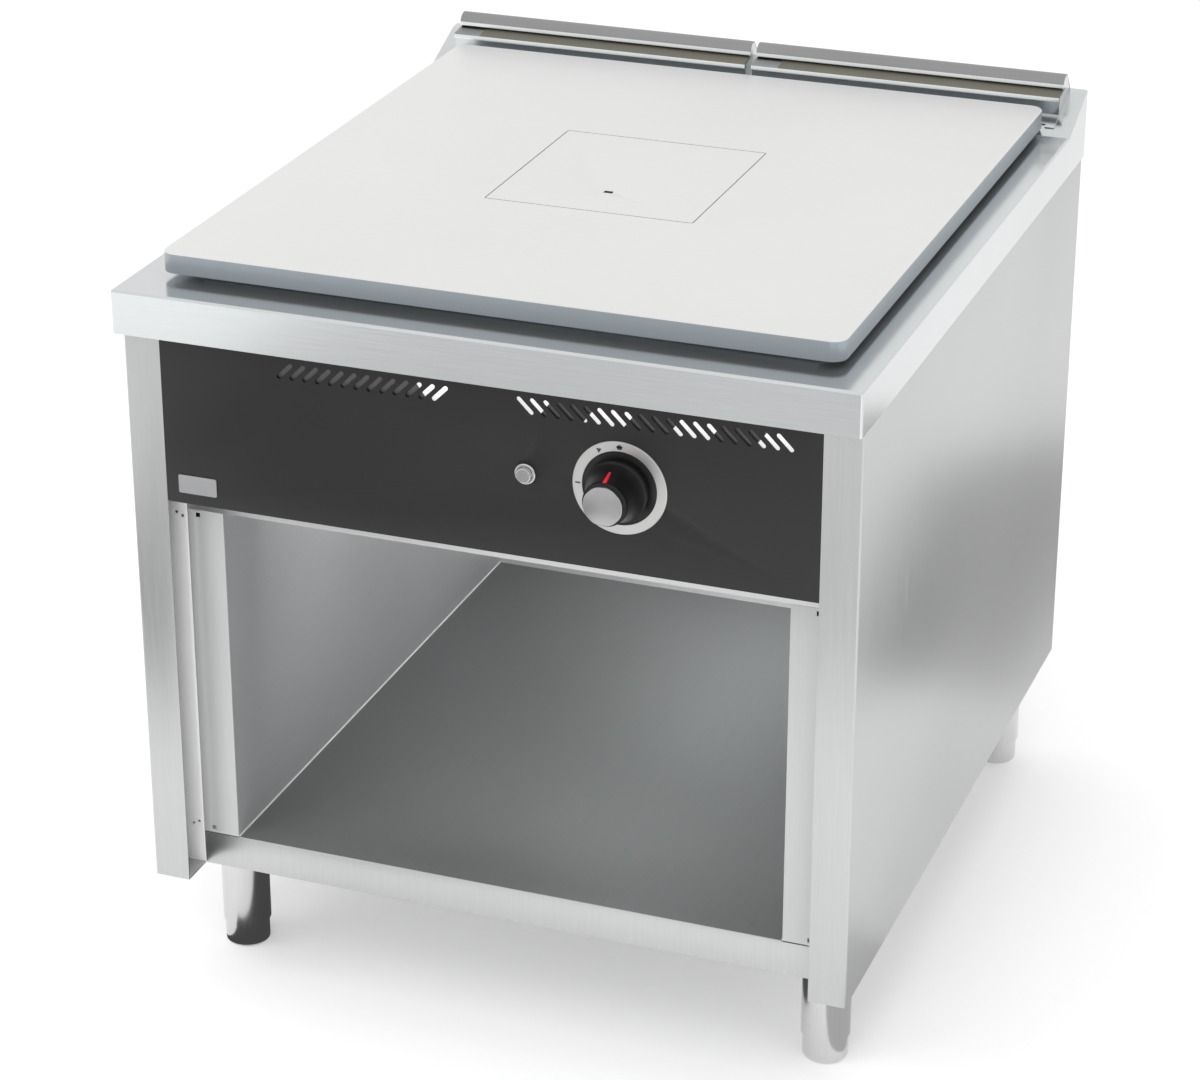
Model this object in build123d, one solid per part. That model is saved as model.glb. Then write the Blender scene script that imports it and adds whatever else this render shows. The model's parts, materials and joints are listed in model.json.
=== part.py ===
"""Gas solid-top range: a cast hot plate with a lift-out centre plug on an open stainless cabinet.

Every piece is drawn in millimetres with +X right, +Y to the rear, +Z up, X = 0 on the middle plane,
Y = 0 at the worktop's front face and Z = 0 on the floor. write_parts() moves all pieces by half the
depth, so that the origin is at the middle of the footprint.
"""
import os

from build123d import *

# Worktop and body
WIDTH = 800.0
DEPTH = 916.0
TOP_Z = 828.0
TOP_SHEET = 2.0
APRON = 47.5
RAMP_Y = 830.0
RAMP_END = (905.0, 860.0)
REAR_Z = 861.5
SHEET = 1.5
BODY_X = 397.5
BODY_Z = 134.0
BODY_REAR = 913.5
FLANGE_Y = 18.5
FLANGE_X = 357.0
RECESS_Y = 60.5
OPEN_X = 315.0
OPEN_Z0 = 174.5
OPEN_Z1 = 565.5
CEILING_Z = 580.0
BACK_Y = 830.0
PANEL_Z0 = 592.0

# Hot plate and its plug
PLATE_X = 366.0
PLATE_Y0 = 46.0
PLATE_Y1 = 846.0
PLATE_Z = 858.0
PLATE_THICK = 22.0
PLATE_CORNER = 16.0
PLUG_SIZE = (235.0, 250.0)
PLUG_Y = 445.0
PLUG_GAP = 0.5
PLUG_LEDGE = 12.0
PLUG_STEP = 11.0
LIFT_SLOT = (10.0, 6.5, 14.0)
LIFT_SLOT_FRONT = 61.0
SEAT_X = 330.0
SEAT_Y0 = 82.0
SEAT_Y1 = 810.0

# Combustion chamber under the plate
CHAMBER_X = 322.0
CHAMBER_Y0 = 112.0
CHAMBER_Y1 = 790.0
CHAMBER_Z0 = 650.0
CHAMBER_Z1 = 821.0
LINING = 45.0

BURNER_Z = 684.0
PILOT_Y = PLUG_Y - 118

# Controls on the panel
KNOB_X = 148.0
KNOB_Z = 684.0
DIAL_R = 50.0
DIAL_BORE = 39.7
KNOB_TRAVEL = 4.0
CAP_THICK = 5.5
STEM_R = 4.0
IGNITER_X = 48.0
IGNITER_Z = 685.0
IGNITER_R = 11.3
IGNITER_BODY_R = 9.4
JET_Y = 80.0

# Leaning slots in the panel
VENT_Z = 757.3
VENT_PITCH = 14.25
LEFT_VENTS = [-44.3 - VENT_PITCH * step for step in range(13)]
RIGHT_VENTS = [47.4 + VENT_PITCH * step for step in range(20)]

# Legs
LEG_X = 345.0
LEG_FRONT_Y = 131.0
LEG_REAR_Y = 859.0
LEG_R = 27.0
LEG_WALL = 1.5
LEG_Z0 = 30.0
FOOT_R = 25.0

# Flue
FLUE_X0 = 4.0
FLUE_X1 = 378.5
HOOD_WALL = 1.2
HOOD_FIT = 0.3
FLUE_FOOT_Y = 842.5
FLUE_WALL_Y = 864.0
FLUE_WALL_Z = 864.0
LOWER_LIP = (860.0, 860.0, 865.0)
LOWER_REAR = (889.0, 869.8)
UPPER_LIP = (880.0, 871.0, 876.0)
UPPER_DOME = [(882.3, 879.6), (885.5, 882.4), (889.0, 884.1), (893.0, 884.8), (896.5, 883.9), (899.5, 881.6),
              (905.0, 875.4)]
DOME_CENTRE = (895.0, 868.0)
DOME_RADIUS = 17.0
UPPER_REAR = (914.0, 864.5)

# Gas supply
INLET_X = 250.0
INLET_Y = 872.0
INLET_Z = 104.0
THREAD_R = 10.48
PIPE_R = 9.0
PIPE_Z = 616.0

SCREW_X = BODY_X - 11
SCREW_Z = (200.0, 370.0, 540.0, 710.0)
BOLT_OFFSETS = [(dx, dy) for dx in (-33, 33) for dy in (-33, 33)]

KNOB_FRONT = -32.0
Y_MIDDLE = (DEPTH + KNOB_FRONT) / 2


def block(x0, x1, y0, y1, z0, z1):
    """A box given by its limits."""
    return Pos((x0 + x1) / 2, (y0 + y1) / 2, (z0 + z1) / 2) * Box(x1 - x0, y1 - y0, z1 - z0)


def rod_y(x, z, y0, y1, radius):
    """A round bar along Y."""
    return Pos(x, (y0 + y1) / 2, z) * Rot(90, 0, 0) * Cylinder(radius, y1 - y0)


def rod_z(x, y, z0, z1, radius):
    """A round bar along Z."""
    return Pos(x, y, (z0 + z1) / 2) * Cylinder(radius, z1 - z0)


def both(left):
    """A left-hand piece and its mirror image."""
    return left, mirror(left, about=Plane.YZ)


def side_extrusion(face, half_width):
    """A face drawn in Y and Z, pulled across the middle plane."""
    return Pos(-half_width, 0, 0) * extrude(Plane.YZ * face, amount=2 * half_width)


def tube_path(points, bend, outer, inner=0.0):
    """A pipe along straight runs joined by arcs."""
    path = FilletPolyline(*points, radius=bend)
    start = Plane(origin=path @ 0, z_dir=path % 0)
    pipe = sweep(start * Circle(outer), path=path)
    if inner:
        pipe -= sweep(start * Circle(inner), path=path)
    return pipe


def worktop_outline(skin):
    """The worktop seen from the side, drawn in by the thickness of its skin."""
    low = TOP_Z - APRON if skin == 0 else TOP_Z - APRON - 5
    drop = 1.1 * skin
    return make_face(Polyline(
        (skin, low),
        (skin, TOP_Z - skin),
        (RAMP_Y + 0.3 * skin, TOP_Z - skin),
        (RAMP_END[0], RAMP_END[1] - drop),
        (DEPTH - skin, REAR_Z - drop),
        (DEPTH - skin, low),
        close=True,
    ))


def worktop():
    """Pressed top with aprons on four sides and a ramp up to the rear edge."""
    shell = side_extrusion(worktop_outline(0), WIDTH / 2)
    rounded = [
        edge for edge in shell.edges()
        if edge.center().Z > TOP_Z - APRON + 1
        and (abs(edge.center().X) > WIDTH / 2 - 1 or edge.center().Y < 1)
    ]
    shell = fillet(rounded, 2.5)
    shell -= side_extrusion(worktop_outline(TOP_SHEET), WIDTH / 2 - TOP_SHEET)
    wall = 3.0
    shell -= block(-SEAT_X - wall, SEAT_X + wall, SEAT_Y0 - wall, SEAT_Y1 + wall, TOP_Z - 20, TOP_Z + 20)
    for side in (-1, 1):
        x0, x1 = sorted((side * 30.0, side * 350.0))
        shell -= block(x0, x1, 872, 902, TOP_Z - 10, REAR_Z + 20)
    return shell


def plate_seat():
    """Welded upstand round the opening, on which the plate rests 8 mm above the worktop."""
    wall = 3.0
    top = PLATE_Z - PLATE_THICK
    outer = block(-SEAT_X - wall, SEAT_X + wall, SEAT_Y0 - wall, SEAT_Y1 + wall, TOP_Z - 6, top)
    return outer - block(-SEAT_X, SEAT_X, SEAT_Y0, SEAT_Y1, TOP_Z - 20, top + 5)


def rounded_slab(half_x, y0, y1, z0, z1, corner):
    """A slab with its four upright corners rounded."""
    outline = RectangleRounded(2 * half_x, y1 - y0, corner)
    return Pos(0, (y0 + y1) / 2, z0) * extrude(outline, amount=z1 - z0)


def hot_plate():
    """Cast plate, relieved underneath, with a stepped opening for the plug."""
    z0 = PLATE_Z - PLATE_THICK
    plate = rounded_slab(PLATE_X, PLATE_Y0, PLATE_Y1, z0, PLATE_Z, PLATE_CORNER)
    plate = chamfer(plate.faces().sort_by(Axis.Z)[-1].outer_wire().edges(), 1.2)
    half_x = PLUG_SIZE[0] / 2 + PLUG_GAP
    half_y = PLUG_SIZE[1] / 2 + PLUG_GAP
    step_z = PLATE_Z - PLUG_STEP - 0.3
    plate -= rounded_slab(half_x, PLUG_Y - half_y, PLUG_Y + half_y, step_z, PLATE_Z + 1, 3)
    low_x = half_x - PLUG_LEDGE
    low_y = half_y - PLUG_LEDGE
    plate -= rounded_slab(low_x, PLUG_Y - low_y, PLUG_Y + low_y, z0 - 1, step_z + 1, 3)
    relief = 8.0
    rib = 22.0
    inner_x = SEAT_X - 20
    ring_x = half_x + 20
    ring_y = half_y + 20
    for side in (-1, 1):
        for y0, y1 in ((SEAT_Y0 + 20, PLUG_Y - ring_y), (PLUG_Y + ring_y, SEAT_Y1 - 20)):
            x0, x1 = sorted((side * rib / 2, side * inner_x))
            plate -= block(x0, x1, y0, y1, z0 - 1, z0 + relief)
        x0, x1 = sorted((side * ring_x, side * inner_x))
        plate -= block(x0, x1, PLUG_Y - ring_y + rib, PLUG_Y + ring_y - rib, z0 - 1, z0 + relief)
    return plate


def target_plug():
    """Lift-out centre of the plate, stepped at its rim, with a slot for the lifting hook."""
    half_x = PLUG_SIZE[0] / 2
    half_y = PLUG_SIZE[1] / 2
    step_z = PLATE_Z - PLUG_STEP
    plug = rounded_slab(half_x, PLUG_Y - half_y, PLUG_Y + half_y, step_z, PLATE_Z, 2.5)
    low_x = half_x - PLUG_LEDGE
    low_y = half_y - PLUG_LEDGE
    z0 = PLATE_Z - PLATE_THICK
    plug += rounded_slab(low_x, PLUG_Y - low_y, PLUG_Y + low_y, z0, step_z, 2.5)
    plug = chamfer(plug.faces().sort_by(Axis.Z)[-1].outer_wire().edges(), 0.5)
    long, wide, deep = LIFT_SLOT
    y = PLUG_Y - LIFT_SLOT_FRONT
    return plug - block(-long / 2, long / 2, y - wide / 2, y + wide / 2, PLATE_Z - deep, PLATE_Z + 1)


def side_panel_left():
    """Outer side sheet with a front flange, a rear flange and a flap under the door pocket."""
    outline = make_face(Polyline(
        (-BODY_X, BODY_REAR),
        (-BODY_X, FLANGE_Y),
        (-FLANGE_X, FLANGE_Y),
        (-FLANGE_X, FLANGE_Y + SHEET),
        (-BODY_X + SHEET, FLANGE_Y + SHEET),
        (-BODY_X + SHEET, BODY_REAR - SHEET),
        (-BODY_X + 21, BODY_REAR - SHEET),
        (-BODY_X + 21, BODY_REAR),
        close=True,
    ))
    panel = Pos(0, 0, BODY_Z) * extrude(outline, amount=TOP_Z - TOP_SHEET - BODY_Z)
    corner = [
        edge for edge in panel.edges()
        if abs(edge.center().X + BODY_X) < 0.01 and abs(edge.center().Y - FLANGE_Y) < 0.01
    ]
    panel = fillet(corner, 2.0)
    panel -= [rod_y(-SCREW_X, z, BODY_REAR - 3, BODY_REAR + 1, 2.1) for z in SCREW_Z]
    flap = block(-BODY_X + SHEET, -FLANGE_X, FLANGE_Y + SHEET, RECESS_Y, BODY_Z, BODY_Z + SHEET)
    return panel + flap


def hinge_strip_left():
    """Narrow sheet behind the front flange, drilled for a door hinge."""
    strip = block(-BODY_X + SHEET, -FLANGE_X - 0.2, RECESS_Y, RECESS_Y + SHEET, BODY_Z + SHEET, PANEL_Z0 - 1)
    for x, z in ((-370.0, 559.5), (-363.0, 556.0), (-370.0, 181.5), (-363.0, 185.0)):
        strip -= rod_y(x, z, RECESS_Y - 1, RECESS_Y + 3, 1.8)
    return strip


def front_post_left():
    """Upright beside the opening, with a square hole for the door pivot."""
    post = block(-FLANGE_X + 0.3, -OPEN_X, RECESS_Y, RECESS_Y + SHEET, OPEN_Z0, OPEN_Z1)
    post += block(-OPEN_X - 1.2 - SHEET, -OPEN_X - 1.2, RECESS_Y, RECESS_Y + 30, OPEN_Z0, OPEN_Z1)
    for z in (OPEN_Z0 + 6, OPEN_Z1 - 6):
        post -= block(-347.5, -342.5, RECESS_Y - 1, RECESS_Y + 3, z - 2.5, z + 2.5)
    return post


def bottom_rail():
    """Rail across the foot of the opening."""
    rail = block(-FLANGE_X + 0.3, FLANGE_X - 0.3, RECESS_Y, RECESS_Y + SHEET, BODY_Z, OPEN_Z0 - 1.2)
    lip = block(-OPEN_X, OPEN_X, RECESS_Y, RECESS_Y + 28, OPEN_Z0 - 1.2 - SHEET, OPEN_Z0 - 1.2)
    foot = block(-OPEN_X, OPEN_X, RECESS_Y, RECESS_Y + 28, BODY_Z, BODY_Z + SHEET)
    return rail + lip + foot


def header_rail():
    """Rail across the head of the opening, behind the panel."""
    rail = block(-FLANGE_X + 0.3, FLANGE_X - 0.3, RECESS_Y, RECESS_Y + SHEET, OPEN_Z1, PANEL_Z0 + 14)
    return rail + block(-OPEN_X, OPEN_X, RECESS_Y, RECESS_Y + 24, OPEN_Z1, OPEN_Z1 + SHEET)


def inner_wall_left():
    """Inner side lining of the cabinet."""
    return block(-OPEN_X - 1.2, -OPEN_X, RECESS_Y + SHEET, BACK_Y, OPEN_Z0 - 1.2, CEILING_Z)


def cabinet_liner():
    """Floor and rear lining of the cabinet, folded from one sheet."""
    floor = block(-OPEN_X, OPEN_X, RECESS_Y, BACK_Y, OPEN_Z0 - 1.2, OPEN_Z0)
    return floor + block(-OPEN_X, OPEN_X, BACK_Y, BACK_Y + 1.2, OPEN_Z0 - 1.2, CEILING_Z)


def cabinet_ceiling():
    """Heat shield between the cabinet and the burner space."""
    return block(-BODY_X + 2, BODY_X - 2, RECESS_Y + 2, BACK_Y + 1.2, CEILING_Z, CEILING_Z + SHEET)


def base_channel(leg_y):
    """Cross channel that carries two legs."""
    y = leg_y + 5
    half = 45.0
    reach = BODY_X - SHEET - 0.5
    channel = block(-reach, reach, y - half, y + half, BODY_Z, OPEN_Z0 - 1.7)
    hollow = block(-reach - 1, reach + 1, y - half + 2, y + half - 2, BODY_Z + 2, OPEN_Z0 + 5)
    channel -= hollow
    for side in (-1, 1):
        channel -= [rod_z(side * LEG_X + dx, leg_y + dy, BODY_Z - 5, BODY_Z + 8, 3.2) for dx, dy in BOLT_OFFSETS]
    if leg_y == LEG_REAR_Y:
        channel -= rod_z(INLET_X, INLET_Y, BODY_Z - 5, BODY_Z + 10, PIPE_R + 4)
    return channel


def back_panel():
    """Removable rear sheet with louvres low down."""
    reach = BODY_X - SHEET - 0.5
    y0 = BODY_REAR - 2 * SHEET
    panel = block(-reach, reach, y0, y0 + SHEET, BODY_Z + 46, TOP_Z - TOP_SHEET - 2)
    for row in range(5):
        for column in range(-2, 3):
            x = column * 110.0
            z = 230.0 + row * 22
            panel -= block(x - 35, x + 35, y0 - 1, y0 + SHEET + 1, z, z + 6)
    for side in (-1, 1):
        panel -= [rod_y(side * SCREW_X, z, y0 - 1, y0 + SHEET + 1, 2.1) for z in SCREW_Z]
    return panel


def screw_head(x, y, z):
    """Low round head with a cross recess and a short shank, driven in from the rear."""
    head = Rot(90, 0, 0) * Cylinder(4.0, 2.0)
    head = chamfer(head.edges().sort_by(Axis.Y)[-1], 0.8)
    head -= Pos(0, 0.6, 0) * Box(4.2, 1.6, 0.9)
    head -= Pos(0, 0.6, 0) * Box(0.9, 1.6, 4.2)
    shank = Pos(0, -4.0, 0) * Rot(90, 0, 0) * Cylinder(1.9, 6.4)
    return Pos(x, y + 1, z) * (head + shank)


def back_panel_screws():
    """Screws through the rear flanges into the rear sheet."""
    return [
        screw_head(side * SCREW_X, BODY_REAR, z)
        for side in (-1, 1)
        for z in SCREW_Z
    ]


def vent_slot(x, z, lean):
    """Cutter for one leaning louvre slot, 23.4 mm long and 5 mm wide."""
    slot = Rot(0, 0, 90 - 45 * lean) * SlotOverall(23.4, 5.0)
    return Pos(x, 30, z) * extrude(Plane.XZ * slot, amount=20)


def control_panel():
    """Black front panel with two rows of leaning slots."""
    panel = block(-FLANGE_X + 0.4, FLANGE_X - 0.4, FLANGE_Y, FLANGE_Y + SHEET, PANEL_Z0, TOP_Z - 4)
    panel += block(-FLANGE_X + 0.4, FLANGE_X - 0.4, FLANGE_Y, RECESS_Y, PANEL_Z0, PANEL_Z0 + SHEET)
    for x in LEFT_VENTS:
        panel -= vent_slot(x, VENT_Z, 1)
    for x in RIGHT_VENTS:
        panel -= vent_slot(x, VENT_Z, -1)
    panel -= rod_y(KNOB_X, KNOB_Z, FLANGE_Y - 2, FLANGE_Y + 4, 10.0)
    panel -= rod_y(IGNITER_X, IGNITER_Z, FLANGE_Y - 2, FLANGE_Y + 4, IGNITER_BODY_R + 0.2)
    return panel


def vent_baffle():
    """Sheet behind the slots, pierced by wide leaning windows, one left and four right."""
    y0 = FLANGE_Y + 5
    baffle = block(-350, 350, y0, y0 + 1, VENT_Z - 20, VENT_Z + 24)
    window = Plane.XZ * make_face(Polyline((-21, -14), (21, -14), (42, 14), (0, 14), close=True))
    cutter = extrude(window, amount=20)
    for step in range(4):
        shifted = Pos(37.0 + 89.0 * step, y0 + 10, VENT_Z) * cutter
        baffle -= shifted
        if step == 0:
            baffle -= mirror(shifted, about=Plane.YZ)
    return baffle


def air_deflector():
    """Bright sheet behind the baffle that turns cooling air upwards."""
    y0 = FLANGE_Y + 11
    return block(-78, 350, y0, y0 + 1, VENT_Z - 24, VENT_Z + 28)


def fire_chamber():
    """Steel box under the plate, open at the top and towards the flue."""
    box = block(-CHAMBER_X, CHAMBER_X, CHAMBER_Y0, CHAMBER_Y1, CHAMBER_Z0, CHAMBER_Z1)
    box -= block(-CHAMBER_X + 2, CHAMBER_X - 2, CHAMBER_Y0 + 2, CHAMBER_Y1 - 2, CHAMBER_Z0 + 2, CHAMBER_Z1 + 5)
    box -= block(-CHAMBER_X + 30, CHAMBER_X - 30, CHAMBER_Y1 - 10, CHAMBER_Y1 + 5, 742, 803)
    for x in (112, 130):
        box -= rod_z(x, PILOT_Y, CHAMBER_Z0 - 5, CHAMBER_Z0 + 5, 4)
    return box - rod_y(0, BURNER_Z, CHAMBER_Y0 - 5, CHAMBER_Y0 + 5, 26)


def refractory_lining():
    """Fire-brick slabs round the burner, with a way out to the flue."""
    gap = 3.0
    x1 = CHAMBER_X - gap
    y0 = CHAMBER_Y0 + gap
    y1 = CHAMBER_Y1 - gap
    z1 = 803.0
    z0 = CHAMBER_Z0 + gap
    bricks = [
        block(-x1, -x1 + LINING, y0, y1, z0, z1),
        block(x1 - LINING, x1, y0, y1, z0, z1),
        block(-x1 + LINING + 1, x1 - LINING - 1, y0, y0 + LINING, z0, z1) - rod_y(0, BURNER_Z, y0 - 5, y0 + 60, 28),
        block(-x1 + LINING + 1, x1 - LINING - 1, y1 - LINING, y1, z0, 740),
    ]
    return bricks


def burner_body():
    """Cast-iron round burner bowl on two feet with a neck for the mixing tube."""
    outer = rod_z(0, PLUG_Y, 664, 716, 112)
    outer -= rod_z(0, PLUG_Y, 672, 720, 102)
    neck = rod_y(0, BURNER_Z, PLUG_Y - 160, PLUG_Y - 106, 24) - rod_y(0, BURNER_Z, PLUG_Y - 161, PLUG_Y - 90, 18.2)
    feet = block(-70, -50, PLUG_Y - 40, PLUG_Y + 40, CHAMBER_Z0 + 2, 664)
    feet += block(50, 70, PLUG_Y - 40, PLUG_Y + 40, CHAMBER_Z0 + 2, 664)
    body = outer + feet
    body -= rod_y(0, BURNER_Z, PLUG_Y - 120, PLUG_Y - 90, 18.2)
    return body + neck


def burner_cap():
    """Cast-iron crown with flame ports round its rim."""
    crown = rod_z(0, PLUG_Y, 716, 734, 112)
    crown = chamfer(crown.edges().sort_by(Axis.Z)[-1], 6)
    crown -= rod_z(0, PLUG_Y, 710, 724, 100)
    port = Pos(0, PLUG_Y, 721) * Rot(0, 90, 0) * Cylinder(1.8, 260)
    for step in range(18):
        crown -= turn_about_burner(port, step * 10.0)
    return crown


def turn_about_burner(piece, degrees):
    """A piece turned about the burner's upright axis."""
    return piece.rotate(Axis((0, PLUG_Y, 0), (0, 0, 1)), degrees)


def mixing_tube():
    """Venturi tube from the injector to the burner's neck."""
    radius_at = [(PLUG_Y - 108, 18.0), (PLUG_Y - 200, 18.0), (210, 14.0), (160, 14.0), (120, 20.0), (95, 24.0)]
    points = [(r, y) for y, r in radius_at]
    inner = [(r - 2, y) for r, y in reversed(points)]
    profile = make_face(Polyline(*points, *inner, close=True))
    return Pos(0, 0, BURNER_Z) * revolve(profile, axis=Axis.Y)


def gas_valve():
    """Brass tap body with inlet and outlet bosses and a bore for the stem."""
    body = rod_y(KNOB_X, KNOB_Z, 32, 86, 17)
    body += block(KNOB_X - 24, KNOB_X + 24, 34, 40, KNOB_Z - 24, KNOB_Z + 24)
    body += rod_z(KNOB_X, 72, 640, KNOB_Z, 11)
    body += Pos((KNOB_X + 20) / 2, JET_Y, KNOB_Z) * Rot(0, 90, 0) * Cylinder(7, KNOB_X - 20)
    return body - rod_y(KNOB_X, KNOB_Z, 20, 62, STEM_R + 0.06)


def injector():
    """Brass elbow and jet that point into the mixing tube."""
    elbow = Pos(8, JET_Y, KNOB_Z) * Rot(0, 90, 0) * Cylinder(8, 24)
    elbow += rod_y(0, KNOB_Z, JET_Y, 94, 6.5)
    return elbow - rod_y(0, KNOB_Z, JET_Y + 3, 96, 1.2)


def manifold_pipe():
    """Steel supply pipe from the inlet, up the rear space and forward to the tap."""
    route = [
        (INLET_X, INLET_Y, BODY_Z + 12),
        (INLET_X, INLET_Y, PIPE_Z),
        (INLET_X, 150, PIPE_Z),
        (KNOB_X, 72, PIPE_Z),
        (KNOB_X, 72, 640),
    ]
    return tube_path(route, 20, PIPE_R, PIPE_R - 1.5)


def gas_inlet():
    """Half-inch threaded inlet with a hexagon, below the rear channel."""
    stub = rod_z(INLET_X, INLET_Y, INLET_Z, BODY_Z - 8, THREAD_R)
    hexagon = Pos(INLET_X, INLET_Y, BODY_Z - 8) * extrude(RegularPolygon(15, 6), amount=8)
    stub += hexagon
    stub += rod_z(INLET_X, INLET_Y, BODY_Z, BODY_Z + 12, 11)
    return stub - rod_z(INLET_X, INLET_Y, INLET_Z - 1, BODY_Z + 20, 7.5)


def pilot_burner():
    """Small pilot beside the burner bowl with its bracket."""
    y = PILOT_Y
    body = rod_z(130, y, 690, 738, 6) - rod_z(130, y, 728, 740, 4)
    bracket = block(104, 160, y - 2, y + 2, 690, 696)
    return body + bracket - rod_z(148, y, 680, 700, 4.6) - rod_z(112, y, 680, 700, 4.1)


def pilot_tube():
    """Thin aluminium tube from the tap to the pilot."""
    y = PILOT_Y
    low = 638
    route = [(KNOB_X + 12, 78, KNOB_Z - 14), (KNOB_X + 12, 78, low), (KNOB_X + 12, 200, low),
             (130, y - 50, low), (130, y, low), (130, y, 690)]
    return tube_path(route, 8, 2.0)


def thermocouple():
    """Flame sensor probe beside the pilot."""
    y = PILOT_Y
    return rod_z(148, y, 694, 742, 2.6) + rod_z(148, y, 682, 694, 4.5)


def spark_electrode():
    """Ceramic-sheathed ignition electrode beside the pilot."""
    y = PILOT_Y
    return rod_z(112, y, 690, 728, 4.0) + rod_z(112, y, 728, 744, 1.2)


def ignition_lead():
    """High-tension lead from the igniter to the electrode."""
    y = PILOT_Y
    low = 628
    route = [(IGNITER_X, 54, IGNITER_Z - IGNITER_BODY_R - 0.2), (IGNITER_X, 54, low), (IGNITER_X + 12, 120, low),
             (112, y - 60, low), (112, y, low), (112, y, 690)]
    return tube_path(route, 12, 2.5)


def igniter_body():
    """Piezo igniter cylinder fixed behind the panel."""
    body = rod_y(IGNITER_X, IGNITER_Z, FLANGE_Y, 62, IGNITER_BODY_R)
    body += rod_y(IGNITER_X, IGNITER_Z, FLANGE_Y + SHEET, FLANGE_Y + SHEET + 4, 12)
    body -= rod_y(IGNITER_X, IGNITER_Z, 5, FLANGE_Y + 4, 8.4)
    return body - rod_y(IGNITER_X, IGNITER_Z, 5, 44, 6.7)


def igniter_bezel():
    """Bright ring round the igniter button."""
    ring = rod_y(IGNITER_X, IGNITER_Z, FLANGE_Y - 4, FLANGE_Y, IGNITER_R)
    ring = fillet(ring.edges().sort_by(Axis.Y)[0], 1.2)
    return ring - rod_y(IGNITER_X, IGNITER_Z, 0, 30, 8.4)


def igniter_button():
    """Push button of the igniter."""
    head = rod_y(IGNITER_X, IGNITER_Z, FLANGE_Y - 9, FLANGE_Y - 1, 8.0)
    head = fillet(head.edges().sort_by(Axis.Y)[0], 1.0)
    return head + rod_y(IGNITER_X, IGNITER_Z, FLANGE_Y - 1, 36, 6.3)


def dial_ring():
    """Bright ring behind the knob."""
    ring = rod_y(KNOB_X, KNOB_Z, FLANGE_Y - 1.5, FLANGE_Y, DIAL_R)
    ring = chamfer(ring.edges().sort_by(Axis.Y)[0], 0.5)
    return ring - rod_y(KNOB_X, KNOB_Z, 0, 30, DIAL_BORE)


def spring_washer():
    """Washer on the stem that slides in with it and carries the return spring."""
    washer = rod_y(KNOB_X, KNOB_Z, 24, 26, 8)
    return washer - rod_y(KNOB_X, KNOB_Z, 20, 30, STEM_R + 0.06)


def valve_stem():
    """Turning stem of the tap, flattened where the knob grips it."""
    stem = rod_y(KNOB_X, KNOB_Z, -14, 52, STEM_R)
    flat = block(KNOB_X - 6, KNOB_X + 6, -16, 4, KNOB_Z + STEM_R - 1.5, KNOB_Z + 6)
    collar = rod_y(KNOB_X, KNOB_Z, 22.0, 23.7, 6.5)
    return stem - flat + collar


def knob_skirt():
    """Black bell-shaped knob, hollow behind, with a groove for the pointer."""
    back_y = FLANGE_Y - KNOB_TRAVEL - 0.5
    rim_y = back_y - 8.5
    nose_y = KNOB_FRONT + CAP_THICK
    outline = make_face(
        Polyline((0, nose_y), (22.8, nose_y), (23.5, nose_y + 0.7))
        + Spline((23.5, nose_y + 0.7), (26.0, nose_y + 14), (32.2, rim_y - 0.8), tangents=((0.12, 1), (0.6, 1)))
        + Polyline((32.2, rim_y - 0.8), (32.6, rim_y), (32.6, back_y), (30.0, back_y), (25.5, -2),
                   (19.5, -14), (0, -14), (0, nose_y))
    )
    bell = Pos(KNOB_X, 0, KNOB_Z) * revolve(outline, axis=Axis.Y)
    hub = rod_y(KNOB_X, KNOB_Z, -16, 8, 8)
    socket = rod_y(KNOB_X, KNOB_Z, -14.2, 12, STEM_R + 0.02)
    return bell + hub - socket - knob_pointer()


def knob_cap():
    """Brushed metal cap on the nose of the knob."""
    face = RegularPolygon(22.2, 8, rotation=22.5)
    face = fillet(face.vertices(), 9)
    cap = Pos(KNOB_X, KNOB_FRONT + CAP_THICK, KNOB_Z) * extrude(Plane.XZ * face, amount=CAP_THICK)
    return chamfer(cap.faces().sort_by(Axis.Y)[0].edges(), 0.9)


def knob_pointer():
    """Red rib along the top of the knob."""
    start = (KNOB_X, -25.6, KNOB_Z + 23.5)
    end = (KNOB_X, -7.0, KNOB_Z + 28.0)
    path = Line(start, end)
    rib = Plane(origin=start, z_dir=path % 0) * Rectangle(2.2, 2.2)
    return extrude(rib, amount=path.length)


def flue_duct():
    """Sheet duct that lifts the burnt gas from the chamber to the rear covers."""
    half = 356.0
    y0 = CHAMBER_Y1 + 1
    duct = block(-half, half, y0, 908, 735, CHAMBER_Z1)
    duct -= block(-half + SHEET, half - SHEET, y0 + SHEET, 908 - SHEET, 735 + SHEET, CHAMBER_Z1 - SHEET)
    duct -= block(-CHAMBER_X + 30, CHAMBER_X - 30, y0 - 5, y0 + 5, 742, 803)
    for side in (-1, 1):
        x0, x1 = sorted((side * 30.0, side * 350.0))
        duct -= block(x0, x1, 860, 902, 815, 830)
    return duct


def lower_outline(inset):
    """Side view of the lower hood: an upright lip and a top that rises gently to the rear."""
    y, low, high = LOWER_LIP
    rear_y, rear_z = LOWER_REAR
    return make_face(Polyline(
        (y + inset, TOP_Z - 10),
        (y + inset, high - inset),
        (y + 1.2 + inset, high + 1.0 - inset),
        (rear_y - inset, rear_z - inset),
        (rear_y - inset, TOP_Z - 10),
        close=True,
    ))


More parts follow.
